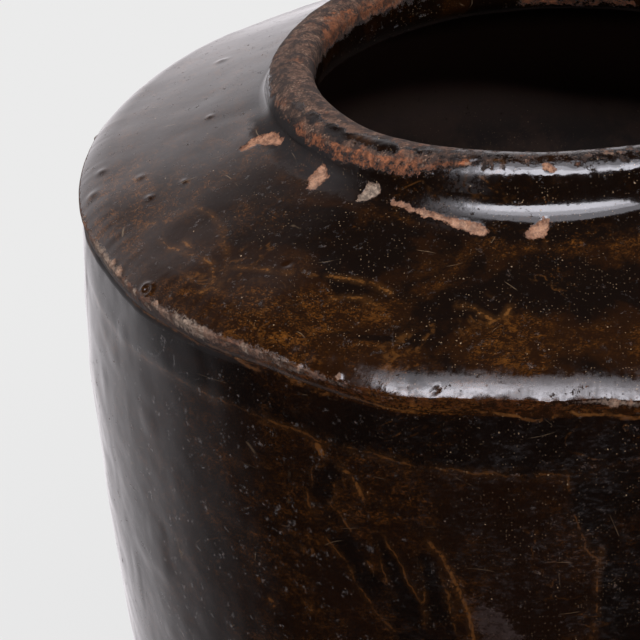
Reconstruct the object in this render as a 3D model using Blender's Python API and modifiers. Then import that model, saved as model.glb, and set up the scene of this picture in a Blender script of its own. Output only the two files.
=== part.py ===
"""Glazed stoneware vinegar jar: thrown clay sections luted together at V seams, under an outer and an inner glaze.

Metres, +Z up, foot on z = 0, turning axis on Z. Every piece is a closed section turned about Z.
A section is a list of (radius, height) points that runs down its outer side first.
"""

import math

import bpy

# Clay body: foot and wall. The wall's widest place swells beyond the ledge under the ridge.
FOOT_RADIUS = 0.1250
FOOT_CHAMFER = 0.0020
BASE_THICKNESS = 0.0130
STANDING_RING_WIDTH = 0.0250
RECESS_DEPTH = 0.0025
RECESS_SLOPE = 0.0040
WALL_SWELL = 0.0028
SWELL_POWER = 3
BULGE_DROP = 0.0500
DRAW_IN_POWER = 2.5
WALL_AT_FOOT = 0.0120
WALL_AT_SHOULDER = 0.0095
WALL_SEAM_HEIGHT = 0.1250

# Clay body: shoulder plate with its sharp outer edge
RIDGE_RADIUS = 0.1537
RIDGE_HEIGHT = 0.3000
EDGE_BAND = 0.0045
EDGE_OVERHANG = 0.0008
EDGE_SLOPE = math.radians(50)
EDGE_ROUNDING = 0.0200
SHOULDER_SLOPE = math.radians(19)
SHOULDER_THICKNESS = 0.0100

# Clay body: neck collar and rolled rim
THROAT_RADIUS = 0.0772
RIM_WIDTH = 0.0128
RIM_HEIGHT = 0.0089
RIM_UNDERCUT = 0.0005
RIM_OUTER_ROUNDING = 0.0052
RIM_INNER_ROUNDING = 0.0030
NECK_FILLET = 0.0083
THROAT_FLARE = 0.0080
COLLAR_FLANGE = 0.0040

# Luting: V seams between the sections and coils pressed into the inside corners
SEAM_GAP = 0.0003
SEAM_RISE = 0.0025
COIL_LEG = 0.0100
COIL_HOLLOW = 0.0012

# Glaze: the upper part was dipped twice, and the second coat ends in a step on the wall
GLAZE_THICKNESS = 0.0006
SECOND_COAT = 0.0004
SECOND_COAT_DROP = 0.0210
GLAZE_LINE_HEIGHT = 0.0160
INNER_GLAZE_THICKNESS = 0.0005

TURN_STEPS = 44
WALL_STEPS = 6
SMOOTH_ANGLE = math.radians(35)
MERGE_DISTANCE = 1e-6

# Sizes that follow from the ones above
LEDGE_HEIGHT = RIDGE_HEIGHT - EDGE_BAND
LEDGE_RADIUS = RIDGE_RADIUS - EDGE_OVERHANG
FLOOR_HEIGHT = BASE_THICKNESS - SEAM_GAP / 2
BULGE_RADIUS = LEDGE_RADIUS + WALL_SWELL
BULGE_HEIGHT = RIDGE_HEIGHT - BULGE_DROP
RECESS_RADIUS = FOOT_RADIUS - FOOT_CHAMFER - STANDING_RING_WIDTH
SECOND_COAT_HEIGHT = RIDGE_HEIGHT - SECOND_COAT_DROP
OUTER_COAT = SEAM_GAP + GLAZE_THICKNESS + SECOND_COAT
INNER_COAT = SEAM_GAP + INNER_GLAZE_THICKNESS
RIM_RADIUS = THROAT_RADIUS + RIM_WIDTH
NECK_RADIUS = RIM_RADIUS - RIM_UNDERCUT
FILLET_RADIUS_POSITION = NECK_RADIUS + NECK_FILLET


def arc(centre, radius, start, end, steps):
    """Points on an arc about centre. Angles are from +Z towards +R, in radians."""
    turns = [start + (end - start) * i / steps for i in range(steps + 1)]
    return [(centre[0] + radius * math.sin(a), centre[1] + radius * math.cos(a)) for a in turns]


def wall_radius(z):
    """Outer clay radius at a height: the wall swells just under the shoulder and draws in to the foot."""
    if z < BULGE_HEIGHT:
        below = (BULGE_HEIGHT - z) / BULGE_HEIGHT
        return BULGE_RADIUS - (BULGE_RADIUS - FOOT_RADIUS) * below**DRAW_IN_POWER
    above = (z - BULGE_HEIGHT) / (LEDGE_HEIGHT - BULGE_HEIGHT)
    return BULGE_RADIUS - (BULGE_RADIUS - LEDGE_RADIUS) * above**SWELL_POWER


def inner_wall_radius(z):
    """Inner clay radius at a height. The wall is thicker at the foot."""
    thickness = WALL_AT_FOOT + (WALL_AT_SHOULDER - WALL_AT_FOOT) * z / LEDGE_HEIGHT
    return wall_radius(z) - thickness


def edge_curve():
    """The plate's rounded outer edge, from the plain slope down to the ridge."""
    centre = (
        RIDGE_RADIUS - EDGE_ROUNDING * math.sin(EDGE_SLOPE),
        RIDGE_HEIGHT - EDGE_ROUNDING * math.cos(EDGE_SLOPE),
    )
    return arc(centre, EDGE_ROUNDING, SHOULDER_SLOPE, EDGE_SLOPE, 3)


def slope_height(radius):
    """Height of the plate's plain upper slope at a radius."""
    start = edge_curve()[0]
    return start[1] + (start[0] - radius) * math.tan(SHOULDER_SLOPE)


def underside_height(radius):
    """Height of the plate's underside, parallel to the plain slope."""
    return slope_height(radius) - SHOULDER_THICKNESS / math.cos(SHOULDER_SLOPE)


def neck_height():
    """Height where the neck fillet turns upright, which is the seam under the rolled rim."""
    tangent_radius = FILLET_RADIUS_POSITION - NECK_FILLET * math.sin(SHOULDER_SLOPE)
    return slope_height(tangent_radius) + NECK_FILLET * math.cos(SHOULDER_SLOPE)


def neck_curve():
    """The hollow between the rim and the shoulder, from upright down to the plain slope."""
    centre = (FILLET_RADIUS_POSITION, neck_height())
    return arc(centre, NECK_FILLET, math.radians(-90), -math.pi + SHOULDER_SLOPE, 4)


def rim_top():
    """Height of the bare flat land on the rim, the jar's highest face."""
    return neck_height() + RIM_HEIGHT


def rim_outer_curve():
    """The rim's rounded outer corner, under the glaze."""
    centre = (RIM_RADIUS - RIM_OUTER_ROUNDING, rim_top() - OUTER_COAT - RIM_OUTER_ROUNDING)
    return arc(centre, RIM_OUTER_ROUNDING, 0, math.radians(90), 3)


def rim_inner_curve():
    """The rim's rounded inner corner, under the glaze, from the land down into the throat."""
    centre = (THROAT_RADIUS + RIM_INNER_ROUNDING, rim_top() - INNER_COAT - RIM_INNER_ROUNDING)
    return arc(centre, RIM_INNER_ROUNDING, 0, math.radians(-90), 2)


def throat_flare():
    """The throat's rounded lower edge, from upright out to the plate's underside."""
    centre_radius = THROAT_RADIUS + THROAT_FLARE
    tangent_radius = centre_radius - THROAT_FLARE * math.sin(SHOULDER_SLOPE)
    centre = (
        centre_radius,
        underside_height(tangent_radius) + THROAT_FLARE * math.cos(SHOULDER_SLOPE),
    )
    return arc(centre, THROAT_FLARE, math.radians(-90), -math.pi + SHOULDER_SLOPE, 2)


def wall_heights(top, bottom):
    """Heights strictly between top and bottom, going down. All faces on the wall share them, so they nest."""
    shared = [BULGE_HEIGHT * i / WALL_STEPS for i in range(WALL_STEPS + 1)]
    shared += [SECOND_COAT_HEIGHT, shoulder_coil_end(), floor_coil_start()]
    return sorted({z for z in shared if bottom < z < top}, reverse=True)


def outer_wall(top, bottom):
    return [(wall_radius(z), z) for z in wall_heights(top, bottom)]


def inner_wall(top, bottom):
    return [(inner_wall_radius(z), z) for z in wall_heights(top, bottom)]


def offset(points, distance):
    """The line moved sideways by distance, to the left of its direction, with mitred corners."""
    moved = []
    for i, (r, z) in enumerate(points):
        normals = []
        for a, b in ((i - 1, i), (i, i + 1)):
            if a < 0 or b >= len(points):
                continue
            dr = points[b][0] - points[a][0]
            dz = points[b][1] - points[a][1]
            length = math.hypot(dr, dz)
            normals.append((-dz / length, dr / length))
        nr = sum(n[0] for n in normals) / len(normals)
        nz = sum(n[1] for n in normals) / len(normals)
        stretch = distance / (nr * nr + nz * nz)
        moved.append((r + nr * stretch, z + nz * stretch))
    return moved


def v_seam(outer, inner, side):
    """A V seam across the wall from outer to inner, with its ridge to the left.

    side is 1 for the piece that the ridge points into and -1 for the piece that carries it.
    """
    dr = inner[0] - outer[0]
    dz = inner[1] - outer[1]
    length = math.hypot(dr, dz)
    normal = (dz / length, -dr / length)
    shift = side * SEAM_GAP / 2
    middle = ((outer[0] + inner[0]) / 2, (outer[1] + inner[1]) / 2)
    lifts = ((outer, shift), (middle, shift + SEAM_RISE), (inner, shift))
    return [(p[0] + normal[0] * lift, p[1] + normal[1] * lift) for p, lift in lifts]


def turned(name, section, material, collection, closed=True):
    """Turns a section about Z into one closed body. An open section starts and ends on the axis."""
    outline = bpy.data.meshes.new(name + "_section")
    count = len(section)
    links = [(i, i + 1) for i in range(count - 1)]
    if closed:
        links.append((count - 1, 0))
    outline.from_pydata([(r, 0.0, z) for r, z in section], links, [])
    spinner = bpy.data.objects.new(name + "_section", outline)
    collection.objects.link(spinner)
    screw = spinner.modifiers.new("Turn", "SCREW")
    screw.axis = "Z"
    screw.angle = math.radians(360)
    screw.steps = TURN_STEPS
    screw.render_steps = TURN_STEPS
    screw.use_merge_vertices = True
    screw.merge_threshold = MERGE_DISTANCE
    graph = bpy.context.evaluated_depsgraph_get()
    mesh = bpy.data.meshes.new_from_object(spinner.evaluated_get(graph))
    bpy.data.objects.remove(spinner)
    bpy.data.meshes.remove(outline)
    mesh.name = name
    mesh.shade_smooth()
    mesh.set_sharp_from_angle(angle=SMOOTH_ANGLE)
    mesh.materials.clear()
    mesh.materials.append(material)
    body = bpy.data.objects.new(name, mesh)
    collection.objects.link(body)
    return body


def make_material(name, colour, roughness):
    material = bpy.data.materials.new(name)
    material.use_nodes = True
    shader = material.node_tree.nodes["Principled BSDF"]
    shader.inputs["Base Color"].default_value = (*colour, 1.0)
    shader.inputs["Roughness"].default_value = roughness
    shader.inputs["Metallic"].default_value = 0.0
    return material


# Seams, each as its outer and inner end on the bare clay
def rim_seam():
    return (NECK_RADIUS, neck_height()), (THROAT_RADIUS, neck_height())


def collar_seam():
    """Where the collar's flange meets the shoulder plate, square to the slope."""
    outer_radius = neck_curve()[-1][0] + COLLAR_FLANGE
    outer = (outer_radius, slope_height(outer_radius))
    inner = (
        outer[0] - SHOULDER_THICKNESS * math.sin(SHOULDER_SLOPE),
        outer[1] - SHOULDER_THICKNESS * math.cos(SHOULDER_SLOPE),
    )
    return outer, inner


def shoulder_seam():
    """Where the plate sits on the wall, from under the ridge to the inside corner."""
    inner_radius = inner_wall_radius(LEDGE_HEIGHT)
    return (LEDGE_RADIUS, LEDGE_HEIGHT), (inner_radius, underside_height(inner_radius))


def level_seam(z):
    return (wall_radius(z), z), (inner_wall_radius(z), z)


# Inside corners and the coils in them
def shoulder_corner():
    """The coil's outer corner, where the wall's inner face meets the plate's underside."""
    radius = inner_wall_radius(LEDGE_HEIGHT) - SEAM_GAP
    return radius, underside_height(radius) - SEAM_GAP


def shoulder_coil_end():
    """Lower end of the coil under the shoulder, on the wall."""
    return shoulder_corner()[1] - COIL_LEG


def floor_coil_start():
    """Upper end of the coil round the floor, on the wall."""
    return FLOOR_HEIGHT + SEAM_GAP + COIL_LEG


def shoulder_coil_face():
    """The hollow face of the coil under the shoulder, from the underside down to the wall."""
    start_radius = shoulder_corner()[0] - COIL_LEG
    start = (start_radius, underside_height(start_radius) - SEAM_GAP)
    end = (inner_wall_radius(shoulder_coil_end()) - SEAM_GAP, shoulder_coil_end())
    middle = ((start[0] + end[0]) / 2 + COIL_HOLLOW, (start[1] + end[1]) / 2 + COIL_HOLLOW)
    return [start, middle, end]


def floor_coil_face():
    """The hollow face of the coil round the floor, from the wall down to the base slab."""
    floor = FLOOR_HEIGHT + SEAM_GAP
    start = (inner_wall_radius(floor_coil_start()) - SEAM_GAP, floor_coil_start())
    end = (inner_wall_radius(floor) - SEAM_GAP - COIL_LEG, floor)
    middle = ((start[0] + end[0]) / 2 + COIL_HOLLOW, (start[1] + end[1]) / 2 - COIL_HOLLOW)
    return [start, middle, end]


def base_slab():
    """Thrown floor of the jar, with a shallow recess that leaves a standing ring."""
    outer, inner = level_seam(BASE_THICKNESS)
    ridge = v_seam(outer, inner, -1)
    return [
        (0.0, ridge[-1][1]),
        *reversed(ridge),
        (wall_radius(FOOT_CHAMFER), FOOT_CHAMFER),
        (FOOT_RADIUS - FOOT_CHAMFER, 0.0),
        (RECESS_RADIUS, 0.0),
        (RECESS_RADIUS - RECESS_SLOPE, RECESS_DEPTH),
        (0.0, RECESS_DEPTH),
    ]


def wall_section(top_seam, bottom_seam):
    """A thrown wall ring with a V ridge on top and a V groove below."""
    top = v_seam(*top_seam, -1)
    bottom = v_seam(*bottom_seam, 1)
    outside = outer_wall(top_seam[0][1], bottom_seam[0][1])
    inside = inner_wall(top_seam[1][1], bottom_seam[1][1])
    return [*reversed(top), *outside, *bottom, *reversed(inside)]


def shoulder_plate():
    """Sloping plate whose edge overhangs the wall in a sharp ridge."""
    joint = v_seam(*collar_seam(), -1)
    seat = v_seam(*shoulder_seam(), 1)
    return [*reversed(joint), *edge_curve(), (RIDGE_RADIUS, LEDGE_HEIGHT + SEAM_GAP / 2), *seat]


def neck_collar():
    """Throat ring with a flange that rounds into the shoulder."""
    top = v_seam(*rim_seam(), -1)
    joint = v_seam(*collar_seam(), 1)
    return [*reversed(top), *neck_curve()[1:], *joint, *reversed(throat_flare())]


def rolled_rim():
    """Rolled lip with a bare flat land on top, where a lid or board rests."""
    seat = v_seam(*rim_seam(), 1)
    outer_curve = rim_outer_curve()
    inner_curve = rim_inner_curve()
    land_outer = outer_curve[0][0] - SEAM_GAP
    land_inner = inner_curve[0][0] + SEAM_GAP
    return [
        (land_inner, rim_top()),
        (land_outer, rim_top()),
        (land_outer, outer_curve[0][1]),
        *outer_curve,
        *seat,
        *reversed(inner_curve),
        (land_inner, inner_curve[0][1]),
    ]


def shoulder_coil():
    face = shoulder_coil_face()
    return [face[0], shoulder_corner(), *reversed(face[1:])]


def floor_coil():
    floor = FLOOR_HEIGHT + SEAM_GAP
    face = floor_coil_face()
    return [face[0], (inner_wall_radius(floor) - SEAM_GAP, floor), *reversed(face[1:])]


def outer_glaze():
    """Outer coat from the rim's land to the glaze line, with a step where the second coat ends."""
    step_point = (wall_radius(SECOND_COAT_HEIGHT), SECOND_COAT_HEIGHT)
    above_step = [
        *rim_outer_curve(),
        *neck_curve(),
        *edge_curve(),
        (RIDGE_RADIUS, LEDGE_HEIGHT),
        (LEDGE_RADIUS, LEDGE_HEIGHT),
        *outer_wall(LEDGE_HEIGHT, SECOND_COAT_HEIGHT),
        step_point,
    ]
    below_step = [step_point, *outer_wall(SECOND_COAT_HEIGHT, GLAZE_LINE_HEIGHT)]
    below_step.append((wall_radius(GLAZE_LINE_HEIGHT), GLAZE_LINE_HEIGHT))
    inner_face = offset([*above_step, *below_step[1:]], SEAM_GAP)
    thick_face = offset(above_step, OUTER_COAT)
    thin_face = offset(below_step, SEAM_GAP + GLAZE_THICKNESS)
    return [*thick_face, *thin_face, *reversed(inner_face)]


def inner_glaze():
    """Inner coat over throat, shoulder underside, coils, wall and floor."""
    shoulder_face = shoulder_coil_face()
    floor_face = floor_coil_face()
    wall_part = inner_wall(shoulder_face[-1][1], floor_face[0][1])
    surface = [
        *rim_inner_curve(),
        *throat_flare(),
        *shoulder_face,
        *wall_part,
        *floor_face,
        (0.0, floor_face[-1][1]),
    ]
    clay_face = offset(surface, -SEAM_GAP)
    glaze_face = offset(surface, -INNER_COAT)
    return [*reversed(glaze_face), *clay_face]


def build():
    for old in list(bpy.data.objects):
        bpy.data.objects.remove(old)
    jar = bpy.data.collections.new("glazed_vinegar_jar")
    bpy.context.scene.collection.children.link(jar)

    clay = make_material("fired_clay", (0.42, 0.20, 0.11), 0.85)
    rim_clay = make_material("worn_rim_clay", (0.22, 0.12, 0.08), 0.70)
    dark_glaze = make_material("dark_glaze", (0.014, 0.008, 0.005), 0.12)
    liner = make_material("inner_glaze", (0.020, 0.012, 0.009), 0.35)

    turned("base_slab", base_slab(), clay, jar, closed=False)
    turned("lower_wall", wall_section(level_seam(WALL_SEAM_HEIGHT), level_seam(BASE_THICKNESS)), clay, jar)
    turned("upper_wall", wall_section(shoulder_seam(), level_seam(WALL_SEAM_HEIGHT)), clay, jar)
    turned("shoulder_plate", shoulder_plate(), clay, jar)
    turned("neck_collar", neck_collar(), clay, jar)
    turned("rolled_rim", rolled_rim(), rim_clay, jar)
    turned("shoulder_luting_coil", shoulder_coil(), clay, jar)
    turned("floor_luting_coil", floor_coil(), clay, jar)
    turned("outer_glaze", outer_glaze(), dark_glaze, jar)
    turned("inner_glaze", inner_glaze(), liner, jar, closed=False)


build()
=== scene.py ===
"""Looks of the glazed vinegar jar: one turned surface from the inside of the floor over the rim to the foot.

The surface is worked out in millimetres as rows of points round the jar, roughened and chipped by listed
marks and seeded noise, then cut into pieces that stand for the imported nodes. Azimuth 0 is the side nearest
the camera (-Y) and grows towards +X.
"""

import math

import bpy
import numpy as np
from mathutils import Matrix, Vector


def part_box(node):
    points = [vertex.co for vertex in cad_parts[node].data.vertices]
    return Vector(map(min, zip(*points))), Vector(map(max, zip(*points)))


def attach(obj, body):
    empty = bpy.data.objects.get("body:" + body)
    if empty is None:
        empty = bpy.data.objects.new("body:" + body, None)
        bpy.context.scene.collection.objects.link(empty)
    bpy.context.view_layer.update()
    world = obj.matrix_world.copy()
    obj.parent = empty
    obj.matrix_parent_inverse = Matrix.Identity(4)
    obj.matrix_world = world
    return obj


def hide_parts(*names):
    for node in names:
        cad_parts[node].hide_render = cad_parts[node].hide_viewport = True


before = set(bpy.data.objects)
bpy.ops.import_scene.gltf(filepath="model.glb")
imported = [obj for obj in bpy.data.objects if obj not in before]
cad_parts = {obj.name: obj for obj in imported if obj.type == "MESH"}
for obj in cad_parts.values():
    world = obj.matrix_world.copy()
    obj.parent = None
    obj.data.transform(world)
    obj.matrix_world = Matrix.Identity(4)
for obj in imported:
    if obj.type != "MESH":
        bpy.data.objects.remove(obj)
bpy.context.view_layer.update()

MM = 0.001
STEPS = 1200
AZIMUTH = np.linspace(0, 2 * np.pi, STEPS, endpoint=False)
OUTWARD_X = np.sin(AZIMUTH)
OUTWARD_Y = -np.cos(AZIMUTH)

# Sizes in millimetres, from the frame where a node's box gives them
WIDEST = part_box("outer_glaze")[1].x / MM
RIM_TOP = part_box("rolled_rim")[1].z / MM
COAT = 1.3
FIRST_COAT = 0.9
RIDGE_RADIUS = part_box("shoulder_plate")[1].x / MM + COAT
RIDGE_HEIGHT = 300.5
BULGE_RADIUS = WIDEST - 0.35
BULGE_HEIGHT = 250.0
FOOT_RADIUS = 125.0
DRAW_IN_POWER = 2.5
LEDGE_RADIUS = RIDGE_RADIUS - 0.9
LEDGE_HEIGHT = 294.6
LEAST_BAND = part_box("shoulder_plate")[1].x / MM + 0.2
SLOPE = math.radians(19)
EDGE_SLOPE = math.radians(50)
EDGE_ROUNDING = 21.3
CORNER = 0.6

# Rolled rim: it sits 3.5 mm off the axis and tilts, as a rim set by hand does
RIM_SHIFT = -3.47
RIM_TILT_X = math.tan(math.radians(1.5))
RIM_TILT_Y = math.tan(math.radians(0.6))
RIM_MEAN_TOP = RIM_TOP - 2.55
RIM_OUTER = 91.3
RIM_OUTER_ROUNDING = 8.3
RIM_INNER_ROUNDING = 4.6
RIM_CROWN = 0.2
THROAT_RADIUS = 76.1
RIM_CLOSING_SAG = 3.0
GROOVE_FILLET = 4.0
KNEE = math.radians(36)
FACE_SLOPE = math.radians(86)
NEAR_FACE_SLOPE = math.radians(62)

# Inside
FLOOR_HEIGHT = 13.95
FLOOR_CENTRE = 1.5
COIL = 18.5
COIL_COVER = 0.8
WALL_AT_FOOT = 13.7
WALL_AT_SHOULDER = 11.4
UNDERSIDE_DEPTH = 13.2
FLARE = 8.8

# Foot, and the heights where the wall is cut into pieces
MIDDLE_WALL_TOP = 205.0
LOWER_WALL_TOP = 110.0
FOOT_TOP = 13.0
FOOT_TOP_GAP = 0.3
GLAZE_LINE = 16.0
STANDING_RING = 25.0
RECESS = 2.5
RECESS_EDGE = 4.0
FOOT_ROUNDING = 2.0


def waves(seed, periods, size):
    """A smooth closed curve round the jar, from seeded waves."""
    rng = np.random.default_rng(seed)
    total = np.zeros(STEPS)
    for period in periods:
        total += rng.normal() * np.cos(period * AZIMUTH + rng.uniform(0, 2 * np.pi)) / math.sqrt(len(periods))
    return total * size


def hump(value, width, middle=0.0):
    """1 where the value is at the middle, and a smooth fall to 0 on both sides."""
    return np.exp(-(((value - middle) / width) ** 2))


def bump_at(degrees, width, height):
    """A smooth rise of a curve round one azimuth."""
    gap = np.angle(np.exp(1j * (AZIMUTH - math.radians(degrees))))
    return height * hump(np.degrees(gap), width)


def with_bumps(curve, rows):
    """The curve with smooth rises: azimuth and width in degrees, and height, of each."""
    for degrees, width, height in rows:
        curve = curve + bump_at(degrees, width, height)
    return curve


def between(rows, start, end):
    """Rows of values that go from start towards end in even steps."""
    return np.linspace(start + np.zeros(STEPS), end + np.zeros(STEPS), rows, endpoint=False)


def straight(rows, r0, z0, r1, z1):
    """Rows on a straight line from one radius and height towards another."""
    t = np.linspace(0, 1, rows, endpoint=False)[:, None]
    return r0 + (r1 - r0) * t + np.zeros(STEPS), z0 + (z1 - z0) * t + np.zeros(STEPS)


def arc(rows, rc, zc, radius, start, end):
    """Rows on an arc. Angles are from +Z outward."""
    s = between(rows, start, end)
    return rc + radius * np.sin(s), zc + radius * np.cos(s)


def smooth(value, low, high):
    """0 at low, 1 at high, and an S curve between them. low may be the greater of the two."""
    t = np.clip((value - low) / (high - low), 0, 1)
    return t * t * (3 - 2 * t)


# Hand-made waviness of the ridge and the rim
RIDGE_OUT = with_bumps(
    waves(3, (2, 3, 5, 7, 11), 0.35),
    ((-88, 7, -0.6), (-71, 6, 0.6), (-53, 5, 0.6), (-33, 5, -0.4), (-17, 5.5, 1.3), (3, 4, -0.4)),
)
RIDGE_UP = with_bumps(
    waves(4, (2, 3, 4, 6, 9), 0.4),
    ((-132, 14, -1.0), (-33, 6, 1.2), (-17, 5.0, -0.8), (3, 3, 0.8)),
)
RIM_SHIFT_OUT = RIM_SHIFT * OUTWARD_X
RIM_RAISE = RIM_OUTER * (RIM_TILT_X * OUTWARD_X + RIM_TILT_Y * OUTWARD_Y)
NEAR_SIDE = bump_at(-6, 34, 1.0)
RIGHT_END = bump_at(24, 15, 1.0)
RIM_OUT = RIM_OUTER + RIM_SHIFT_OUT + waves(5, (2, 3, 5, 8), 0.3) + 0.5 * NEAR_SIDE - 2.2 * RIGHT_END
RIM_UP = RIM_MEAN_TOP + RIM_RAISE + waves(6, (3, 4, 7), 0.12) + 2.6 * NEAR_SIDE
RIM_FACE = FACE_SLOPE + (NEAR_FACE_SLOPE - FACE_SLOPE) * NEAR_SIDE
FILLET = GROOVE_FILLET + bump_at(-2, 25, 13.0)
OUTER_ROUNDING = RIM_OUTER_ROUNDING + 5.0 * NEAR_SIDE - 4.0 * RIGHT_END
CREST_ROUNDING = RIM_OUTER_ROUNDING - 3.6 * NEAR_SIDE - 1.5 * RIGHT_END
INNER_ROUNDING = RIM_INNER_ROUNDING + 2.4 * NEAR_SIDE
THROAT = THROAT_RADIUS + RIM_SHIFT_OUT + waves(7, (2, 3, 4), 0.25)

# The rim's outer rounding is a tight crest down to the knee, then a wider arc into the face
KNEE_R = RIM_OUT - OUTER_ROUNDING * (1 - math.sin(KNEE))
CREST_START = np.maximum(KNEE_R - CREST_ROUNDING * math.sin(KNEE), THROAT + INNER_ROUNDING + 0.1)
CREST_RADIUS = (KNEE_R - CREST_START) / math.sin(KNEE)
ROUND_R = KNEE_R - OUTER_ROUNDING * math.sin(KNEE)
ROUND_Z = RIM_UP - CREST_RADIUS * (1 - math.cos(KNEE)) - OUTER_ROUNDING * math.cos(KNEE)


def clay_radius(z):
    """Glazed wall radius at a height."""
    below = np.clip((BULGE_HEIGHT - z) / BULGE_HEIGHT, 0, None)
    above = np.clip((z - BULGE_HEIGHT) / (LEDGE_HEIGHT - BULGE_HEIGHT), 0, None)
    drawn_in = (BULGE_RADIUS - FOOT_RADIUS - FIRST_COAT) * below**DRAW_IN_POWER
    return BULGE_RADIUS - drawn_in - (BULGE_RADIUS - LEDGE_RADIUS) * above**3


def inner_radius(z):
    thickness = WALL_AT_FOOT + (WALL_AT_SHOULDER - WALL_AT_FOOT) * z / LEDGE_HEIGHT
    return clay_radius(z) - thickness


EDGE_CENTRE_R = RIDGE_RADIUS - EDGE_ROUNDING * math.sin(EDGE_SLOPE)
EDGE_CENTRE_Z = RIDGE_HEIGHT - EDGE_ROUNDING * math.cos(EDGE_SLOPE)
EDGE_START_R = EDGE_CENTRE_R + EDGE_ROUNDING * math.sin(SLOPE)
EDGE_START_Z = EDGE_CENTRE_Z + EDGE_ROUNDING * math.cos(SLOPE)


def slope_height(r):
    return EDGE_START_Z + (EDGE_START_R - r) * math.tan(SLOPE)


def section():
    """Radii and heights of the rows, floor centre to foot centre, and the row where each part starts."""
    parts = []

    def put(name, pair):
        parts.append((name, pair))

    floor_wall = inner_radius(FLOOR_HEIGHT + COIL) - COIL_COVER
    put("floor", straight(9, FLOOR_CENTRE, FLOOR_HEIGHT, floor_wall - COIL, FLOOR_HEIGHT))
    put("floor_coil", arc(6, floor_wall - COIL, FLOOR_HEIGHT + COIL, COIL, math.pi, math.pi / 2))
    coil_end = LEDGE_HEIGHT - COIL
    z = between(18, FLOOR_HEIGHT + COIL, coil_end)
    put("inner_wall", (inner_radius(z), z))
    corner = inner_radius(coil_end)
    under_start = slope_height(corner - COIL) - UNDERSIDE_DEPTH
    turn = between(6, 0, math.pi / 2)
    coil_z = coil_end + (under_start - coil_end) * np.sin(turn)
    put("shoulder_coil", (corner - COIL + COIL * np.cos(turn), coil_z))
    flare_r = THROAT + FLARE
    tangent_r = flare_r - FLARE * math.sin(SLOPE)
    tangent_z = slope_height(tangent_r) - UNDERSIDE_DEPTH
    put("underside", straight(9, corner - COIL, under_start, tangent_r, tangent_z))
    flare_z = tangent_z + FLARE * math.cos(SLOPE)
    put("flare", arc(8, flare_r, flare_z, FLARE, math.pi + SLOPE, 1.5 * math.pi))
    put("throat", straight(10, THROAT, flare_z, THROAT, RIM_UP - INNER_ROUNDING))
    inner_r = THROAT + INNER_ROUNDING
    put("inner_round", arc(9, inner_r, RIM_UP - INNER_ROUNDING, INNER_ROUNDING, -math.pi / 2, 0))
    land_r, land_z = straight(6, inner_r, RIM_UP, CREST_START, RIM_UP)
    crown = RIM_CROWN * np.sin(np.linspace(0, np.pi, 6, endpoint=False))[:, None]
    put("land", (land_r, land_z + crown * (1 - NEAR_SIDE)))
    put("crest", arc(7, CREST_START, RIM_UP - CREST_RADIUS, CREST_RADIUS, 0, KNEE))
    put("outer_round", arc(9, ROUND_R, ROUND_Z, OUTER_ROUNDING, KNEE, RIM_FACE))
    face_r = ROUND_R + OUTER_ROUNDING * np.sin(RIM_FACE)
    face_z = ROUND_Z + OUTER_ROUNDING * np.cos(RIM_FACE)
    tan = math.tan(SLOPE)
    above = face_z - slope_height(face_r)
    needed = FILLET * (1 / math.cos(SLOPE) - tan * np.sin(RIM_FACE) - np.cos(RIM_FACE))
    face = np.maximum(above - needed, 0.05) / (np.sin(RIM_FACE) - tan * np.cos(RIM_FACE))
    low_r = face_r + face * np.cos(RIM_FACE)
    low_z = face_z - face * np.sin(RIM_FACE)
    put("face", straight(8, face_r, face_z, low_r, low_z))
    fillet_r = low_r + FILLET * np.sin(RIM_FACE)
    fillet_z = low_z + FILLET * np.cos(RIM_FACE)
    put("groove", arc(14, fillet_r, fillet_z, -FILLET, RIM_FACE, SLOPE))
    foot_r = fillet_r - FILLET * math.sin(SLOPE)
    foot_z = fillet_z - FILLET * math.cos(SLOPE)
    put("slope", straight(50, foot_r, foot_z, EDGE_START_R, EDGE_START_Z))
    put("edge", arc(15, EDGE_CENTRE_R, EDGE_CENTRE_Z, EDGE_ROUNDING, SLOPE, EDGE_SLOPE))
    corner_r = RIDGE_RADIUS - CORNER * math.sin(EDGE_SLOPE)
    corner_z = RIDGE_HEIGHT - CORNER * math.cos(EDGE_SLOPE)
    put("corner", arc(3, corner_r, corner_z, CORNER, EDGE_SLOPE, math.radians(105)))
    put("band", straight(5, RIDGE_RADIUS, RIDGE_HEIGHT - 1.0, LEDGE_RADIUS + 0.2, LEDGE_HEIGHT + 0.9))
    put("crease", straight(2, LEDGE_RADIUS - 0.15, LEDGE_HEIGHT + 0.6, LEDGE_RADIUS, LEDGE_HEIGHT))
    for name, rows, top, bottom in (
        ("upper_wall", 70, LEDGE_HEIGHT, MIDDLE_WALL_TOP),
        ("middle_wall", 66, MIDDLE_WALL_TOP, LOWER_WALL_TOP),
        ("lower_wall", 66, LOWER_WALL_TOP, FOOT_TOP),
        ("foot_side", 8, FOOT_TOP, FOOT_ROUNDING),
    ):
        z = between(rows, top, bottom)
        put(name, (clay_radius(z), z))
    base_r = clay_radius(FOOT_ROUNDING) - FOOT_ROUNDING
    put("foot_round", arc(5, base_r, FOOT_ROUNDING, FOOT_ROUNDING, math.pi / 2, math.pi))
    ring_r = base_r - STANDING_RING
    put("standing_ring", straight(12, base_r, 0.0, ring_r, 0.0))
    put("recess_edge", straight(5, ring_r, 0.0, ring_r - RECESS_EDGE, RECESS))
    put("recess", straight(10, ring_r - RECESS_EDGE, RECESS, 0.0, RECESS))
    starts = {}
    row = 0
    for name, (r, _) in parts:
        starts[name] = row
        row += len(r)
    starts["end"] = row
    radii = np.concatenate([r for _, (r, _) in parts])
    heights = np.concatenate([z for _, (_, z) in parts])
    return radii, heights, starts


def to_points(r, z):
    return np.stack([r * OUTWARD_X, r * OUTWARD_Y, z], axis=-1)


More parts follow.
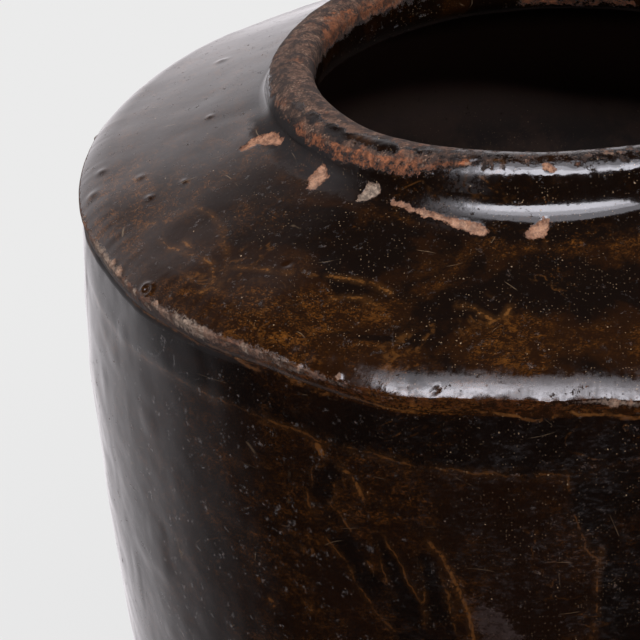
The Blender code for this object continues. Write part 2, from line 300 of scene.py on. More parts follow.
def normals(points):
    """Unit normals of the grid of points, facing out of the clay."""
    along = np.gradient(points, axis=0)
    around = np.roll(points, -1, axis=1) - np.roll(points, 1, axis=1)
    n = np.cross(around, along)
    n /= np.linalg.norm(n, axis=-1, keepdims=True) + 1e-9
    return -n if n[starts["land"] + 2, 0, 2] < 0 else n


def lattice(seed):
    return np.random.default_rng(seed).uniform(-1, 1, (64, 64, 64)).astype(np.float32)


def noise(points, size, seed, octaves=1):
    """Smooth value noise in space, about -1 to 1, with features of that size."""
    total = np.zeros(points.shape[:-1], np.float32)
    share = 1.0
    for octave in range(octaves):
        grid = lattice(seed + octave)
        q = points / size * 2**octave + 100.37
        whole = np.floor(q).astype(np.int64)
        part = (q - whole).astype(np.float32)
        part = part * part * (3 - 2 * part)
        x, y, z = (whole[..., i] & 63 for i in range(3))
        x1, y1, z1 = ((v + 1) & 63 for v in (x, y, z))
        fx, fy, fz = (part[..., i] for i in range(3))
        low = (grid[x, y, z] * (1 - fx) + grid[x1, y, z] * fx) * (1 - fy)
        low += (grid[x, y1, z] * (1 - fx) + grid[x1, y1, z] * fx) * fy
        high = (grid[x, y, z1] * (1 - fx) + grid[x1, y, z1] * fx) * (1 - fy)
        high += (grid[x, y1, z1] * (1 - fx) + grid[x1, y1, z1] * fx) * fy
        total += share * (low * (1 - fz) + high * fz)
        share *= 0.5
    return total


def place(azimuth, r, z):
    a = math.radians(azimuth)
    return np.array([r * math.sin(a), -r * math.cos(a), z])


def on_shoulder(azimuth, r):
    return place(azimuth, r, slope_height(r))


def on_wall(azimuth, z):
    return place(azimuth, float(clay_radius(np.array(z))), z)


def on_rim(azimuth, turn):
    """A point on the rim's section: turn is degrees from its top outward, on the outer rounding."""
    column = int(round(azimuth / 360 * STEPS)) % STEPS
    r = ROUND_R[column] + OUTER_ROUNDING[column] * math.sin(math.radians(turn))
    z = ROUND_Z[column] + OUTER_ROUNDING[column] * math.cos(math.radians(turn))
    return place(azimuth, r, z)


def on_throat(azimuth, z):
    return place(azimuth, THROAT_RADIUS + RIM_SHIFT * math.sin(math.radians(azimuth)), z)


def stroke(surface, spots, half_widths):
    """Millimetres inside (+) or outside (-) a stroke over a surface, with round ends and changing width."""
    route = [surface(*spot) for spot in spots]
    inside = np.full(base.shape[:-1], -99.0)
    for i in range(max(1, len(route) - 1)):
        a, b = route[i], route[min(i + 1, len(route) - 1)]
        wa, wb = half_widths[i], half_widths[min(i + 1, len(route) - 1)]
        reach = np.linalg.norm(b - a) / 2 + max(wa, wb) + 20
        near = np.linalg.norm(base - (a + b) / 2, axis=-1) < reach
        q = base[near]
        length = max(float((b - a) @ (b - a)), 1e-6)
        t = np.clip((q - a) @ (b - a) / length, 0, 1)
        gap = np.linalg.norm(q - (a + t[:, None] * (b - a)), axis=-1)
        inside[near] = np.maximum(inside[near], wa + (wb - wa) * t - gap)
    return inside


radii, heights, starts = section()
row_of = np.arange(len(radii))[:, None]


def rows_in(first, after):
    """Which rows lie from the start of one part to the start of another."""
    return (row_of >= starts[first]) & (row_of < starts[after])


# The ridge's waviness fades over the shoulder and down the wall
FADE_RADII = (118, 146)
FADE_HEIGHTS = (272, 295)
fade = np.where(rows_in("slope", "edge"), smooth(radii, *FADE_RADII), 0) + rows_in("edge", "upper_wall")
fade = fade + np.where(rows_in("upper_wall", "middle_wall"), smooth(heights, *FADE_HEIGHTS), 0)
radii = radii + fade * RIDGE_OUT
heights = heights + fade * RIDGE_UP

# The wall stands out a little on the left, most of all under the ridge
wall_zone = rows_in("upper_wall", "foot_side") + np.zeros(STEPS)
side_swell = 0.6 * smooth(heights, 294, 272) + hump(heights, 18, 238) + 0.5 * smooth(heights, 225, 190)
radii = radii + wall_zone * side_swell * smooth(heights, FOOT_TOP, 40) * bump_at(-74, 13, 1.0)

base = to_points(radii, heights)
base_normals = normals(base)

# Where the other parts of the surface are, for the marks and the finish
rim_zone = rows_in("throat", "groove")
inside_zone = (row_of < starts["throat"]) * (1 - smooth(heights, 285, 322))
on_upper_surface = rows_in("slope", "middle_wall") + np.zeros(STEPS)

# Chips that show the clay: route, half widths in millimetres and how pale the clay is. A route's spots are an
# azimuth with a radius on the shoulder, a turn on the rim or a height on the wall
SHOULDER_CHIPS = (
    (((-67.5, 105.5), (-68, 101.5), (-66.5, 98.5), (-64, 96.5)), (1.7, 2.3, 2.9, 1.9), 0.1),
    (((-47, 101.5), (-48, 97.5), (-49, 94)), (1.6, 3.0, 0.9), 0.3),
    (((-36.5, 98), (-36, 95), (-36.5, 92)), (1.9, 3.0, 1.7), 1.0),
    (((-31, 97), (-26.5, 98), (-21.5, 98.5), (-16.5, 100), (-14, 101)), (0.8, 0.9, 1.2, 1.9, 2.0), 0.35),
    (((-6, 100.5), (-4.5, 99.5), (-4, 97.5), (-4, 94.5)), (1.6, 2.3, 1.6, 0.8), 0.25),
)
RIM_CHIPS = (
    (((-4, 44), (-3, 47)), (1.1, 0.9), 0.25),
    (((6.5, 24), (8, 25)), (0.6, 0.5), 0.8),
    (((-18.5, 40),), (0.7,), 0.4),
)
chip = np.full(radii.shape, -99.0)
pale = np.zeros(radii.shape)
for surface, chips in ((on_shoulder, SHOULDER_CHIPS), (on_rim, RIM_CHIPS)):
    for route, half_widths, paleness in chips:
        mark = stroke(surface, route, half_widths)
        pale = np.where(mark > np.maximum(chip, -3), paleness, pale)
        chip = np.maximum(chip, mark)

# Distance along the section, and along it from the ridge: positive above the ridge, negative below
step_lengths = np.hypot(np.diff(radii, axis=0), np.diff(heights, axis=0))
section_length = np.concatenate([np.zeros((1, STEPS)), np.cumsum(step_lengths, axis=0)])
from_ridge = section_length[starts["corner"]] - section_length
flow = to_points(RIDGE_RADIUS + 0 * radii, section_length)

ragged = 0.7 * noise(base, 2.2, 11, 2)
chip = np.maximum(chip + ragged, -99)
chip_depth = 0.6 * smooth(chip, 0.0, 1.5)

# Pale crumbs of clay that stuck to the ridge: azimuth, half width and height in millimetres
CRUMBS = (
    (-60, 1.5, 0.4), (-58, 1.6, 0.3), (-49, 0.9, 0.5), (-41.5, 1.1, 0.5),
    (-35, 0.9, 0.4), (-28, 1.0, 0.5), (-23.5, 1.2, 0.5), (-10.5, 0.8, 0.4),
    (4.5, 1.3, 0.4), (6, 1.0, 0.5), (-72, 0.9, 0.4), (-94, 1.2, 0.4),
    (31, 1.3, 0.5), (58, 1.0, 0.4), (97, 1.8, 0.4), (141, 1.2, 0.4),
    (-133, 1.4, 0.4),
)
crumb = np.full(radii.shape, -99.0)
crumb_lift = np.zeros(radii.shape)
for crumb_azimuth, half_width, height in CRUMBS:
    gap = np.linalg.norm(base - place(crumb_azimuth, RIDGE_RADIUS - 0.3, RIDGE_HEIGHT), axis=-1)
    crumb = np.maximum(crumb, half_width - gap)
    crumb_lift += height * hump(gap, half_width)

# Second coat: dark above the line, with tongues that ran down the wall
COAT_LINE = 279.3
coat_line = COAT_LINE + waves(8, (3, 5, 9, 14), 1.1)
coat = np.where(wall_zone > 0, heights - coat_line, 30.0)
TONGUES = [
    (
        ((-23.5, 272), (-25.5, 268), (-26, 259), (-23.5, 250))
        + ((-21, 238.5), (-18.5, 229), (-15.5, 219), (-13.5, 205)),
        (1.6, 2.8, 3.8, 4.2, 4.2, 4.5, 5.0, 4.0),
    ),
    (((-14.5, 248), (-13.5, 237.5), (-13, 226), (-12.5, 208), (-12, 190)), (1.8, 3.6, 4.6, 5.0, 2.5)),
    (((-19.5, 253), (-18, 243), (-16, 228)), (2.0, 3.6, 4.0)),
    (((12, 290), (12, 272), (12, 258), (12, 225), (12, 180), (13, 150)), (33, 31, 24, 25, 22, 12)),
]
rng = np.random.default_rng(21)
azimuth = 30.0
while azimuth < 285:
    length, lean, half = rng.uniform(25, 110), rng.uniform(-5, 5), rng.uniform(3.5, 8.0)
    route = [(azimuth + lean * t, 282 - length * t) for t in (0, 0.35, 0.7, 1)]
    TONGUES.append((route, (half * 1.2, half, half * 0.9, half * 0.4)))
    azimuth += rng.uniform(14, 34)
for route, half_widths in TONGUES:
    run = stroke(on_wall, route, half_widths)
    coat = np.maximum(coat, np.where(wall_zone > 0, run, -99))
coat = coat + 0.8 * noise(base, 9.0, 31, 2)

# Ochre veins and flecks where the glaze pulled thin: route over the surface and half width
SHOULDER_VEINS = (
    (((-75.5, 139.5), (-73, 138), (-73, 135), (-71, 134.5)), 0.5),
    (((-61.5, 143), (-62, 141), (-61.5, 139.5)), 0.8),
    (((-57.5, 141.5), (-55, 141.5), (-53, 140), (-51, 139.5)), 0.6),
    (((-54.5, 137), (-52.5, 138)), 0.7),
    (((-49, 138), (-47, 138.5), (-45, 141.5), (-44, 145), (-44.5, 147.5)), 0.7),
    (((-59.5, 127.5), (-56, 126), (-51.5, 128), (-47.5, 132.5), (-44.5, 138.5), (-43, 145)), 0.3),
    (((-31.5, 127), (-28.5, 126), (-25.5, 125.5), (-22.5, 127)), 0.7),
    (((-29, 134.5), (-27.5, 132), (-25.5, 131), (-23, 132.5)), 0.5),
    (((-13.5, 127.5), (-11.5, 128.5), (-9, 131.5)), 0.6),
    (((-9, 133), (-7.5, 130.5), (-7, 127)), 0.7),
    (((-44, 135.5), (-40.5, 132.5), (-36.5, 130.5)), 0.5),
)
WALL_VEINS = (
    (((-26, 277.5), (-25.5, 275)), 1.1),
    (((-23.5, 272.5), (-22, 271), (-21.5, 267.5), (-21, 264)), 0.6),
    (((-33.5, 218), (-33, 217)), 1.0),
    (((-28.5, 222), (-28, 221)), 0.9),
    (((-14, 254), (-12.5, 249.5), (-11, 239.5), (-10, 232), (-9.5, 223)), 0.6),
    (((3.5, 256), (3, 246), (3, 236), (2.5, 222)), 0.2),
)
DULL_PATCH = ((-9.5, 235), (-8, 232), (-7, 226), (-6, 214), (-5, 196), (-3.5, 178))
DULL_PATCH_WIDTHS = (1.5, 4.5, 6.0, 5.0, 2.5, -1.0)
vein = np.full(radii.shape, -99.0)
for surface, veins, share in ((on_shoulder, SHOULDER_VEINS, 0.75), (on_wall, WALL_VEINS, 1)):
    for route, half_width in veins:
        vein = np.maximum(vein, stroke(surface, route, [half_width * share] * len(route)))

# Small marks, with their width and height: bumps and pits on the shoulder, pits and a blister on the ridge
PIMPLES = [
    (on_shoulder(-79.5, 148), 1.7, 0.36),
    (on_shoulder(-75, 152), 2.1, 0.45),
    (on_shoulder(-67.5, 136.5), 1.2, 0.36),
    (on_shoulder(-73.5, 136.5), 1.5, 0.24),
    (on_shoulder(-67, 125.5), 1.0, 0.28),
    (on_shoulder(-84, 113), 1.2, 0.3),
    (on_shoulder(-109, 122), 1.9, 0.42),
    (on_shoulder(-38, 128), 0.9, -0.35),
    (place(-13, 154, 301.5), 0.8, -0.8),
    (place(-13.5, 154.5, 300.5), 0.7, -0.6),
    (on_shoulder(-5, 94), 0.8, -0.6),
]
lift = np.zeros(radii.shape)
for centre, width, height in PIMPLES:
    gap = np.linalg.norm(base - centre, axis=-1)
    lift += height * hump(gap, width)
blister_gap = np.linalg.norm(base - place(-51.5, 154, 302), axis=-1)
lift += 0.5 * hump(blister_gap, 0.7, 1.9) - 0.6 * hump(blister_gap, 1.2)

# Rim wear: the top and the left outside are worn to matte clay, with an orange band along the lower edge
azimuth_degrees = np.degrees(np.angle(np.exp(1j * AZIMUTH)))[None, :] + np.zeros(radii.shape)
left_side = smooth(azimuth_degrees, -178, -150) * (1 - smooth(azimuth_degrees, -38, -12))
rim_turn = (row_of - starts["land"]) / (starts["groove"] - starts["land"]) + np.zeros(STEPS)
wear_end = smooth(rim_turn, 0.4 + 0.06 * left_side, 0.72 - 0.02 * left_side)
top_wear = smooth(rim_turn, -0.55, -0.3) * (1 - wear_end) * rim_zone
worn = top_wear * (0.42 + 0.85 * left_side)
BAND = ((-84, 62), (-66, 64), (-55, 66), (-46, 60), (-37, 56), (-30, 54), (-24, 45), (-17, 37))
PATCHES = ((-66, 30), (-56, 26), (-47, 28), (-38, 24), (-29, 26), (-20, 16))
rust = stroke(on_rim, BAND, (-2.5, -0.4, 1.8, 2.6, 2.6, 2.6, 1.2, 0.2))
patches = stroke(on_rim, PATCHES, (0.6, 1.6, 2.0, 2.0, 1.6, 0.6)) + 1.6 * noise(base, 4.2, 12, 2)
patches = smooth(patches, -1.6, 2.6) * rim_zone
worn = worn * (1 - patches)
rust = rust - 6.0 * patches
INNER_RUST = (
    (((-103, 331), (-109, 333), (-117, 332)), (3.2, 5.0, 3.4)),
    (((-122, 332), (-133, 331)), (3.0, 2.2)),
    (((-168, 321), (178, 319), (164, 321)), (1.8, 3.0, 1.8)),
    (((60, 333), (72, 332)), (2.0, 2.4)),
)
for route, half_widths in INNER_RUST:
    rust = np.maximum(rust, stroke(on_throat, route, half_widths))
rust = np.where((row_of >= starts["flare"]) & (row_of < starts["groove"] + 4), rust, -99)

# Bare foot under the glaze line
foot_line = GLAZE_LINE + waves(9, (2, 5, 9, 13, 21), 2.2)
foot_bare = np.where(row_of >= starts["lower_wall"], foot_line - heights, -99.0)

bare = np.maximum(np.maximum(chip, crumb + ragged), foot_bare)
pale = np.where(crumb > -1, 0.7, pale)


def flow_noise(around, along, seed):
    """Noise with features of these sizes round the jar and along the section."""
    return noise(flow * [1 / around, 1 / around, 1 / along], 1, seed)


# Relief along the normal, in millimetres
ALL_OVER = ((0.3, 36, 41), (0.16, 15, 42), (0.04, 6.5, 43))
relief = sum(height * noise(base, size, seed) for height, size, seed in ALL_OVER)
turning = flow_noise(70, 6, 44)
ribs = flow_noise(8, 17, 45)
lumps = flow_noise(10, 13, 53)
wall_relief = 0.05 * turning + 0.05 * ribs + 0.2 * smooth(lumps, 0.1, 0.9) + 0.05 * noise(base, 5.0, 55)
relief += wall_zone * wall_relief
relief += 0.16 * smooth(noise(base, 19, 54), 0.0, 0.9) * smooth(azimuth_degrees, -60, -85) * on_upper_surface
rim_lumps = (1 - 0.6 * NEAR_SIDE) * 0.26 * noise(base, 8, 46)
rim_grain = (1 - 0.1 * NEAR_SIDE) * 0.07 * noise(base, 2.4, 47, 2)
relief += rim_zone * (rim_lumps + rim_grain)
ridge_near = hump(from_ridge, 1.8, -1.0) * on_upper_surface
crumbs = noise(base, 2.3, 48, 2)
crumbly = smooth(noise(base, 14, 50), -0.25, 0.45)
relief += ridge_near * crumbly * ((0.14 + 0.12 * left_side) * crumbs + 0.4 * smooth(crumbs, 0.45, 1.0))
combed = flow_noise(2.6, 14, 49)
relief += 0.05 * combed * smooth(from_ridge, -2, 1) * (1 - smooth(from_ridge, 8, 14)) * on_upper_surface
relief -= 0.3 * smooth(rust + ragged, -0.4, 0.6)
relief += 0.12 * smooth(coat, -1.5, 1.5) * wall_zone * smooth(heights, 240, 262)
relief += lift + crumb_lift - chip_depth
relief = relief * (1 - 0.7 * inside_zone)
relief = np.where(row_of >= starts["standing_ring"], np.minimum(relief, 0) * 0.3, relief)
foot_thin = np.where(row_of >= starts["lower_wall"], smooth(foot_line - heights, -0.6, 1.2), 0)
relief = relief - 0.55 * foot_thin * (row_of < starts["standing_ring"])

# The skin covers the clay's edge under the ridge, and nothing stands out of the jar's box
points = base + base_normals * relief[..., None]
reach = np.hypot(points[..., 0], points[..., 1])
covering = (row_of >= starts["corner"] + 2) & (row_of <= starts["upper_wall"])
points[..., :2] *= np.where(covering, np.maximum(1, LEAST_BAND / np.maximum(reach, 1)), 1)[..., None]
reach = np.hypot(points[..., 0], points[..., 1])
limit = (WIDEST - 0.03) / np.maximum(np.abs(OUTWARD_X), np.abs(OUTWARD_Y))
points[..., :2] *= np.minimum(1, limit / np.maximum(reach, 1e-6))[..., None]
points[..., 2] = np.clip(points[..., 2], 0.0, RIM_TOP - 0.02)
point_normals = normals(points)

# The matte crumbly edge of the ridge: millimetres inside (+) or outside (-) it
away = smooth(np.abs(azimuth_degrees[0]), 14, 30)
crest_width = with_bumps(-0.25 + 1.65 * away, ((-62, 9, 1.2), (-44, 6, 0.9), (-33, 8, 0.4), (5, 4, 1.5)))
crest = np.where(on_upper_surface > 0, crest_width - np.abs(from_ridge + 1.2 - 0.4 * away), -99.0)
pale_crest = with_bumps(0.0, ((-63, 5, 0.9), (-44, 4, 0.9), (-30, 3, 0.7), (5, 3, 0.9)))
pale = np.where((on_upper_surface > 0) & (np.abs(from_ridge) < 6) & (crumb < -1), pale_crest, pale)

# Misty gloss on the rim and in the groove, and black glaze on the rim's face and in the groove: thick glaze
# that gathers there, and painted shade where the rim shades the groove
from_groove = section_length - section_length[starts["slope"]]
hazy = bump_at(-20, 6, 1.0) * smooth(np.abs(from_groove + 3.0), 9.0, 3.0)
hazy = np.maximum(hazy, rim_zone * bump_at(-19, 5, 0.9))
groove_black_and_shade = smooth(rim_turn, 0.25, 0.55) * smooth(from_groove, 9.0, 0.0) * (row_of >= starts["land"])

FIELDS = {
    "flow": flow,
    "bare": bare,
    "pale": pale,
    "worn": worn,
    "rust": rust,
    "coat": coat,
    "vein": vein,
    "wall": wall_zone,
    "inside": inside_zone,
    "groove_black_and_shade": groove_black_and_shade,
    "crest": crest,
    "hazy": hazy,
    "dull": stroke(on_wall, DULL_PATCH, DULL_PATCH_WIDTHS),
    "coat_line": np.where(wall_zone > 0, heights - coat_line, 30.0),
    "from_ridge": np.where(on_upper_surface > 0, from_ridge, -99.0 + 150 * (row_of < starts["slope"])),
}


class Graph:
    """Adds nodes to a node tree and links them. A value is a number, a tuple or another node's output."""

    def __init__(self, tree):
        self.tree = tree

    def put(self, socket, value):
        if isinstance(value, bpy.types.NodeSocket):
            self.tree.links.new(value, socket)
        else:
            socket.default_value = value

    def add(self, kind, *values, **settings):
        """A new node with these settings, and with the values in its first inputs."""
        node = self.tree.nodes.new(kind)
        for key, value in settings.items():
            setattr(node, key, value)
        for socket, value in zip(node.inputs, values):
            self.put(socket, value)
        return node

    def fill(self, node, **inputs):
        for name, value in inputs.items():
            self.put(node.inputs[name], value)
        return node

    def math(self, operation, *values):
        return self.add("ShaderNodeMath", *values, operation=operation).outputs[0]

    def chain(self, operation, values):
        total = values[0]
        for value in values[1:]:
            total = self.math(operation, total, value)
        return total

    def times(self, *values):
        return self.chain("MULTIPLY", values)

    def plus(self, *values):
        return self.chain("ADD", values)

    def most(self, *values):
        return self.chain("MAXIMUM", values)

    def less(self, a, b):
        return self.math("SUBTRACT", a, b)

    def size(self, value):
        return self.math("ABSOLUTE", value)

    def step(self, value, low, high, start=0.0, end=1.0):
        """start at low, end at high, and an S curve between them. low may be the greater of the two."""
        limits = (low, high, start, end)
        return self.add("ShaderNodeMapRange", value, *limits, interpolation_type="SMOOTHSTEP").outputs[0]


class Nodes(Graph):
    """The nodes of one material. Places and sizes are in millimetres."""

    def __init__(self, name):
        self.material = bpy.data.materials.new(name)
        self.material.use_nodes = True
        super().__init__(self.material.node_tree)
        self.shader = self.tree.nodes["Principled BSDF"]
        where = self.add("ShaderNodeTexCoord").outputs["Object"]
        self.place = self.vector("MULTIPLY", where, (1 / MM, 1 / MM, 1 / MM))
        self.flow = self.add("ShaderNodeAttribute", attribute_name="flow").outputs["Vector"]
        self.x, self.y, self.z = self.add("ShaderNodeSeparateXYZ", self.place).outputs

    def vector(self, operation, a, b):
        return self.add("ShaderNodeVectorMath", a, b, operation=operation).outputs[0]

    def field(self, name):
        return self.add("ShaderNodeAttribute", attribute_name=name).outputs["Fac"]

    def noise(self, size, detail=2.0, roughness=0.5, warp=0.0, stretch=(1, 1, 1), shift=0.0, flow=False):
        """Noise from 0 to 1 with features of about that size. With flow, Z runs along the section."""
        at = self.vector("MULTIPLY", self.flow if flow else self.place, stretch)
        at = self.vector("ADD", at, (shift, shift, shift))
        node = self.add("ShaderNodeTexNoise")
        self.fill(node, Vector=at, Scale=1 / size, Detail=detail, Roughness=roughness, Distortion=warp)
        return node.outputs["Fac"]

    def sway(self, amount, *sizes, **settings):
        """The same noise moved to lie round 0, times an amount."""
        return self.times(self.less(self.noise(*sizes, **settings), 0.5), amount)

    def dots(self, size, share, radius, strength, shift, edge, ragged=False):
        """Dots in the cells whose random value is above share. Radius and edge are in cells."""
        at = self.vector("ADD", self.place, (shift, shift, shift))
        node = self.fill(self.add("ShaderNodeTexVoronoi"), Vector=at, Scale=1 / size)
        chance = self.add("ShaderNodeSeparateColor", node.outputs["Color"]).outputs[0]
        reach = self.step(chance, share, 1.0, 0.0, radius)
        if ragged:
            reach = self.plus(reach, self.sway(0.16, 0.28, 1, shift=57))
        dot = self.step(self.less(reach, node.outputs["Distance"]), 0.0, edge, 0.0, strength)
        return self.times(dot, self.step(chance, share, share + 0.05)) if ragged else dot

    def mix(self, share, a, b, blend_type="MIX"):
        """Colour a where share is 0 and b where it is 1."""
        node = self.add("ShaderNodeMix", share, data_type="RGBA", blend_type=blend_type)
        for socket, colour in zip(node.inputs[6:], (a, b)):
            self.put(socket, (*colour, 1.0) if isinstance(colour, tuple) else colour)
        return node.outputs[2]

    def shade(self, share, colour, factor):
        return self.mix(share, colour, factor, "MULTIPLY")

    def blend(self, share, a, b):
        node = self.add("ShaderNodeMix", share, data_type="FLOAT")
        for socket, value in zip(node.inputs[2:], (a, b)):
            self.put(socket, value)
        return node.outputs[0]

    def bumps(self, *layers):
        """Bumps over one another, each with its height from 0 to 1 and the millimetres that 1 stands for."""
        normal = None
        for height, millimetres in layers:
            node = self.fill(self.add("ShaderNodeBump"), Height=height, Distance=millimetres * MM)
            if normal is not None:
                self.fill(node, Normal=normal)
            normal = node.outputs[0]
        self.fill(self.shader, Normal=normal)


# Colours
BLACK_GLAZE = (0.0056, 0.0027, 0.0016)
BROWN_GLAZE = (0.018, 0.0063, 0.0019)
AMBER_GLAZE = (0.215, 0.077, 0.012)
RIDGE_BROWN = (0.105, 0.032, 0.0075)
RIDGE_OCHRE = (0.3, 0.122, 0.032)
GOLD_LINE = (0.29, 0.117, 0.026)
DULL_GLAZE = (0.056, 0.036, 0.03)
WALL_SHADE = (0.66, 0.62, 0.6)
SCUFFED = (0.42, 0.39, 0.38)
INSIDE_GLAZE = (0.026, 0.017, 0.013)
INSIDE_BROWN = (0.06, 0.034, 0.023)
# Paler inner glaze, painted light high on the inner wall
INSIDE_PAINTED_LIGHT = (0.46, 0.3, 0.23)
SPECK = (0.54, 0.385, 0.225)
TERRACOTTA = (0.62, 0.27, 0.14)
PALE_CLAY = (0.45, 0.335, 0.235)
RUST_CLAY = (0.35, 0.112, 0.034)
WORN_CLAY = (0.155, 0.076, 0.04)
CRUST_BROWN = (0.19, 0.075, 0.032)
STAIN = (0.03, 0.017, 0.011)
SAND = (0.56, 0.36, 0.235)
# Painted shade for the clay near the edge of a chip
CHIP_EDGE_PAINTED_SHADE = (0.62, 0.52, 0.46)
GLAZE_IOR = 1.6
BARE_ROUGHNESS = 0.93

# Specks of sand: size of their cells, share without one, radius in cells, strength, shift
DUST = ((0.75, 0.35, 0.3, 0.36, 50), (1.4, 0.72, 0.2, 0.6, 52))
GRAINS = ((2.6, 0.76, 0.105, 0.75, 5), (5.5, 0.8, 0.07, 0.9, 71), (14, 0.76, 0.038, 1.0, 74))
DULL_DOTS = (2.1, 0.65, 0.22, 1.0, 103)
PINHOLES = (5.5, 0.92, 0.1, 1.0, 99)


def clay_colour(n, tint, shift=0.0):
    """Fired clay with sandy mottling and darker grit."""
    dark, light = tuple(c * 0.42 for c in tint), tuple(min(0.72, c * 1.28 + 0.02) for c in tint)
    mottled = n.mix(n.step(n.noise(2.2, 6, 0.78, shift=shift), 0.38, 0.62), light, dark)
    grit = n.step(n.noise(0.75, 2, 0.6, shift=shift + 7), 0.57, 0.67)
    return n.mix(n.times(grit, 0.75), mottled, tuple(c * 0.28 for c in tint))


def glaze_colour(n, wall, coat, from_ridge):
    """Tortoiseshell glaze: blue-black where it lies thick, amber where it is thin. Also gives its zones."""
    zone = n.noise(30, 3, 0.55, warp=0.6, stretch=(1, 1, 1.7), shift=3, flow=True)
    streaks = n.noise(9, 6, 0.72, stretch=(1, 1, 2.4), shift=11, flow=True)
    flecks = n.noise(1.9, 6, 0.75, shift=13)
    middle = n.step(n.size(n.less(from_ridge, 42)), 22, 5, -0.05, 0.15)
    broken = n.times(n.less(n.plus(streaks, flecks), 1), 0.3)
    shoulder_dark = n.step(n.plus(zone, middle, broken), 0.46, 0.64)
    shoulder_dark = n.times(shoulder_dark, n.step(n.x, -120, -60, 0.35, 1))
    upper_band = n.step(from_ridge, -4, -8, 0, 0.35)
    wall_dark = n.plus(n.times(n.step(coat, -2.2, 1.6), 0.62), upper_band)
    wall_dark = n.times(wall_dark, n.step(zone, 0.3, 0.5, 0.55, 1))
    dark = n.blend(wall, shoulder_dark, wall_dark)
    # Black glaze on the rim's face and in the groove: thick glaze there, and also painted shade
    dark = n.most(dark, n.times(n.field("groove_black_and_shade"), n.step(streaks, 0.7, 0.48, 0.45, 1)))
    tone = n.plus(n.times(streaks, 0.5), n.times(flecks, 0.5))
    grain = n.sway(0.8, 0.7, 6, 0.8, stretch=(0.6, 0.6, 1.2), shift=15, flow=True)
    patch = n.step(n.noise(24, 2, shift=17), 0.36, 0.62)
    amber = n.times(n.step(n.plus(tone, grain), 0.45, 0.76), patch)
    brown = n.mix(n.times(amber, n.blend(wall, 0.9, 0.68)), BROWN_GLAZE, AMBER_GLAZE)
    colour = n.mix(n.times(dark, n.step(amber, 0.35, 1, 0.95, 0.45)), brown, BLACK_GLAZE)

    # The thin glaze just under the ridge is orange-brown, with a drip line below it
    under = n.step(n.plus(from_ridge, n.sway(12, 6, 5, 0.7, shift=21)), -6.5, -2)
    spots = n.noise(4.2, 7, 0.78, stretch=(1, 1, 1.6), shift=19, flow=True)
    black = n.noise(2.6, 6, 0.8, stretch=(1, 1, 1.8), shift=26, flow=True)
    under = n.times(under, n.step(from_ridge, 1.4, -0.4), n.step(spots, 0.4, 0.66, 0.02, 1))
    under = n.times(under, n.step(black, 0.42, 0.54))
    bright = n.step(n.plus(n.noise(1.7, 5, 0.75, shift=24), n.times(grain, 0.3)), 0.52, 0.72)
    colour = n.mix(under, colour, n.mix(bright, RIDGE_BROWN, RIDGE_OCHRE))
    drip = n.size(n.plus(from_ridge, 5.6, n.sway(10, 16, 4, 0.6, shift=28)))
    drip = n.times(n.step(drip, 0.8, 0.1), n.step(n.noise(8, 5, 0.7, shift=30), 0.44, 0.6), 0.42)
    return n.mix(drip, colour, RIDGE_OCHRE), zone


def golden_lines(n, wall, coat):
    """Thin broken lines where one run of glaze meets another, and the listed veins."""
    wander = n.sway(5, 7, 4, 0.6, shift=23)
    edge = n.size(n.plus(coat, wander))
    edge = n.plus(n.step(edge, 0.55, 0, 0, 0.75), n.step(edge, 2.4, 0, 0, 0.25))
    edge = n.times(edge, n.step(n.noise(9, 5, 0.7, shift=41), 0.42, 0.64), wall)
    along = n.size(n.plus(n.field("coat_line"), n.times(wander, 0.9)))
    along = n.plus(n.step(along, 0.6, 0, 0, 0.7), n.step(along, 3.4, 0, 0, 0.3))
    along = n.times(along, n.step(n.noise(6, 6, 0.75, shift=42), 0.4, 0.64), wall, n.step(coat, 8, 4))
    vein = n.step(n.size(n.sway(1, 24, 3, 0.5, warp=1, shift=29)), 0.022, 0)
    vein = n.times(vein, n.step(n.noise(28, 1, shift=37), 0.52, 0.64))
    vein = n.times(vein, n.step(n.noise(3, 4, 0.7, shift=39), 0.42, 0.6))
    drawn = n.plus(n.field("vein"), n.sway(n.blend(wall, 3.2, 1.6), 2.4, 5, 0.75, shift=45))
    drawn = n.plus(n.step(drawn, -0.1, 0.35, 0, 0.75), n.step(n.field("vein"), -1.8, 0.2, 0, 0.2))
    drawn = n.times(drawn, n.step(n.noise(3.6, 4, 0.7, shift=47), 0.36, 0.58, 0.1, 1))
    return n.most(n.times(vein, 0.24), n.times(edge, 0.34), n.times(along, 0.48), n.times(drawn, 0.62))


def pale_specks(n, wall, zone):
    """Sand in the glaze: dust in patches and grains at three sizes, fewer on the left of the wall."""
    crowd = n.times(n.step(zone, 0.38, 0.56, 0.45, 1), n.step(n.x, -115, -75, 0.15, 1))
    crowd = n.times(crowd, n.step(n.noise(12, 3, 0.65, shift=53), 0.38, 0.6, 0.2, 1))
    dust = n.most(*(n.dots(*row, 0.1) for row in DUST))
    dust = n.times(dust, crowd, n.blend(wall, 1, n.step(n.x, -70, 15, 0.14, 0.7)))
    grains = n.most(*(n.dots(*row, 0.04, ragged=True) for row in GRAINS))
    return dust, n.times(grains, n.blend(wall, 1, n.step(n.x, -80, 10, 0.25, 0.75)))


def hair_scratches(n, wall):
    """Hair-thin broken lines, and level ones on the wall."""
    level = n.sway(1, 30, 0, stretch=(0.45, 0.45, 2.2), shift=73, flow=True)
    short = n.noise(5, 3, 0.6, stretch=(0.5, 0.5, 1), shift=77, flow=True)
    lines = [n.times(n.step(n.size(level), 0.004, 0.0008), n.step(short, 0.56, 0.66), wall)]
    for size, shift in ((38, 61), (55, 67)):
        thin = n.step(n.size(n.sway(1, size, 0, shift=shift)), 0.0022, 0.0004)
        lines.append(n.times(thin, n.step(n.noise(9, 2, shift=shift + 3), 0.6, 0.7)))
    return n.times(n.most(*lines), n.blend(wall, 0.28, 0.13))


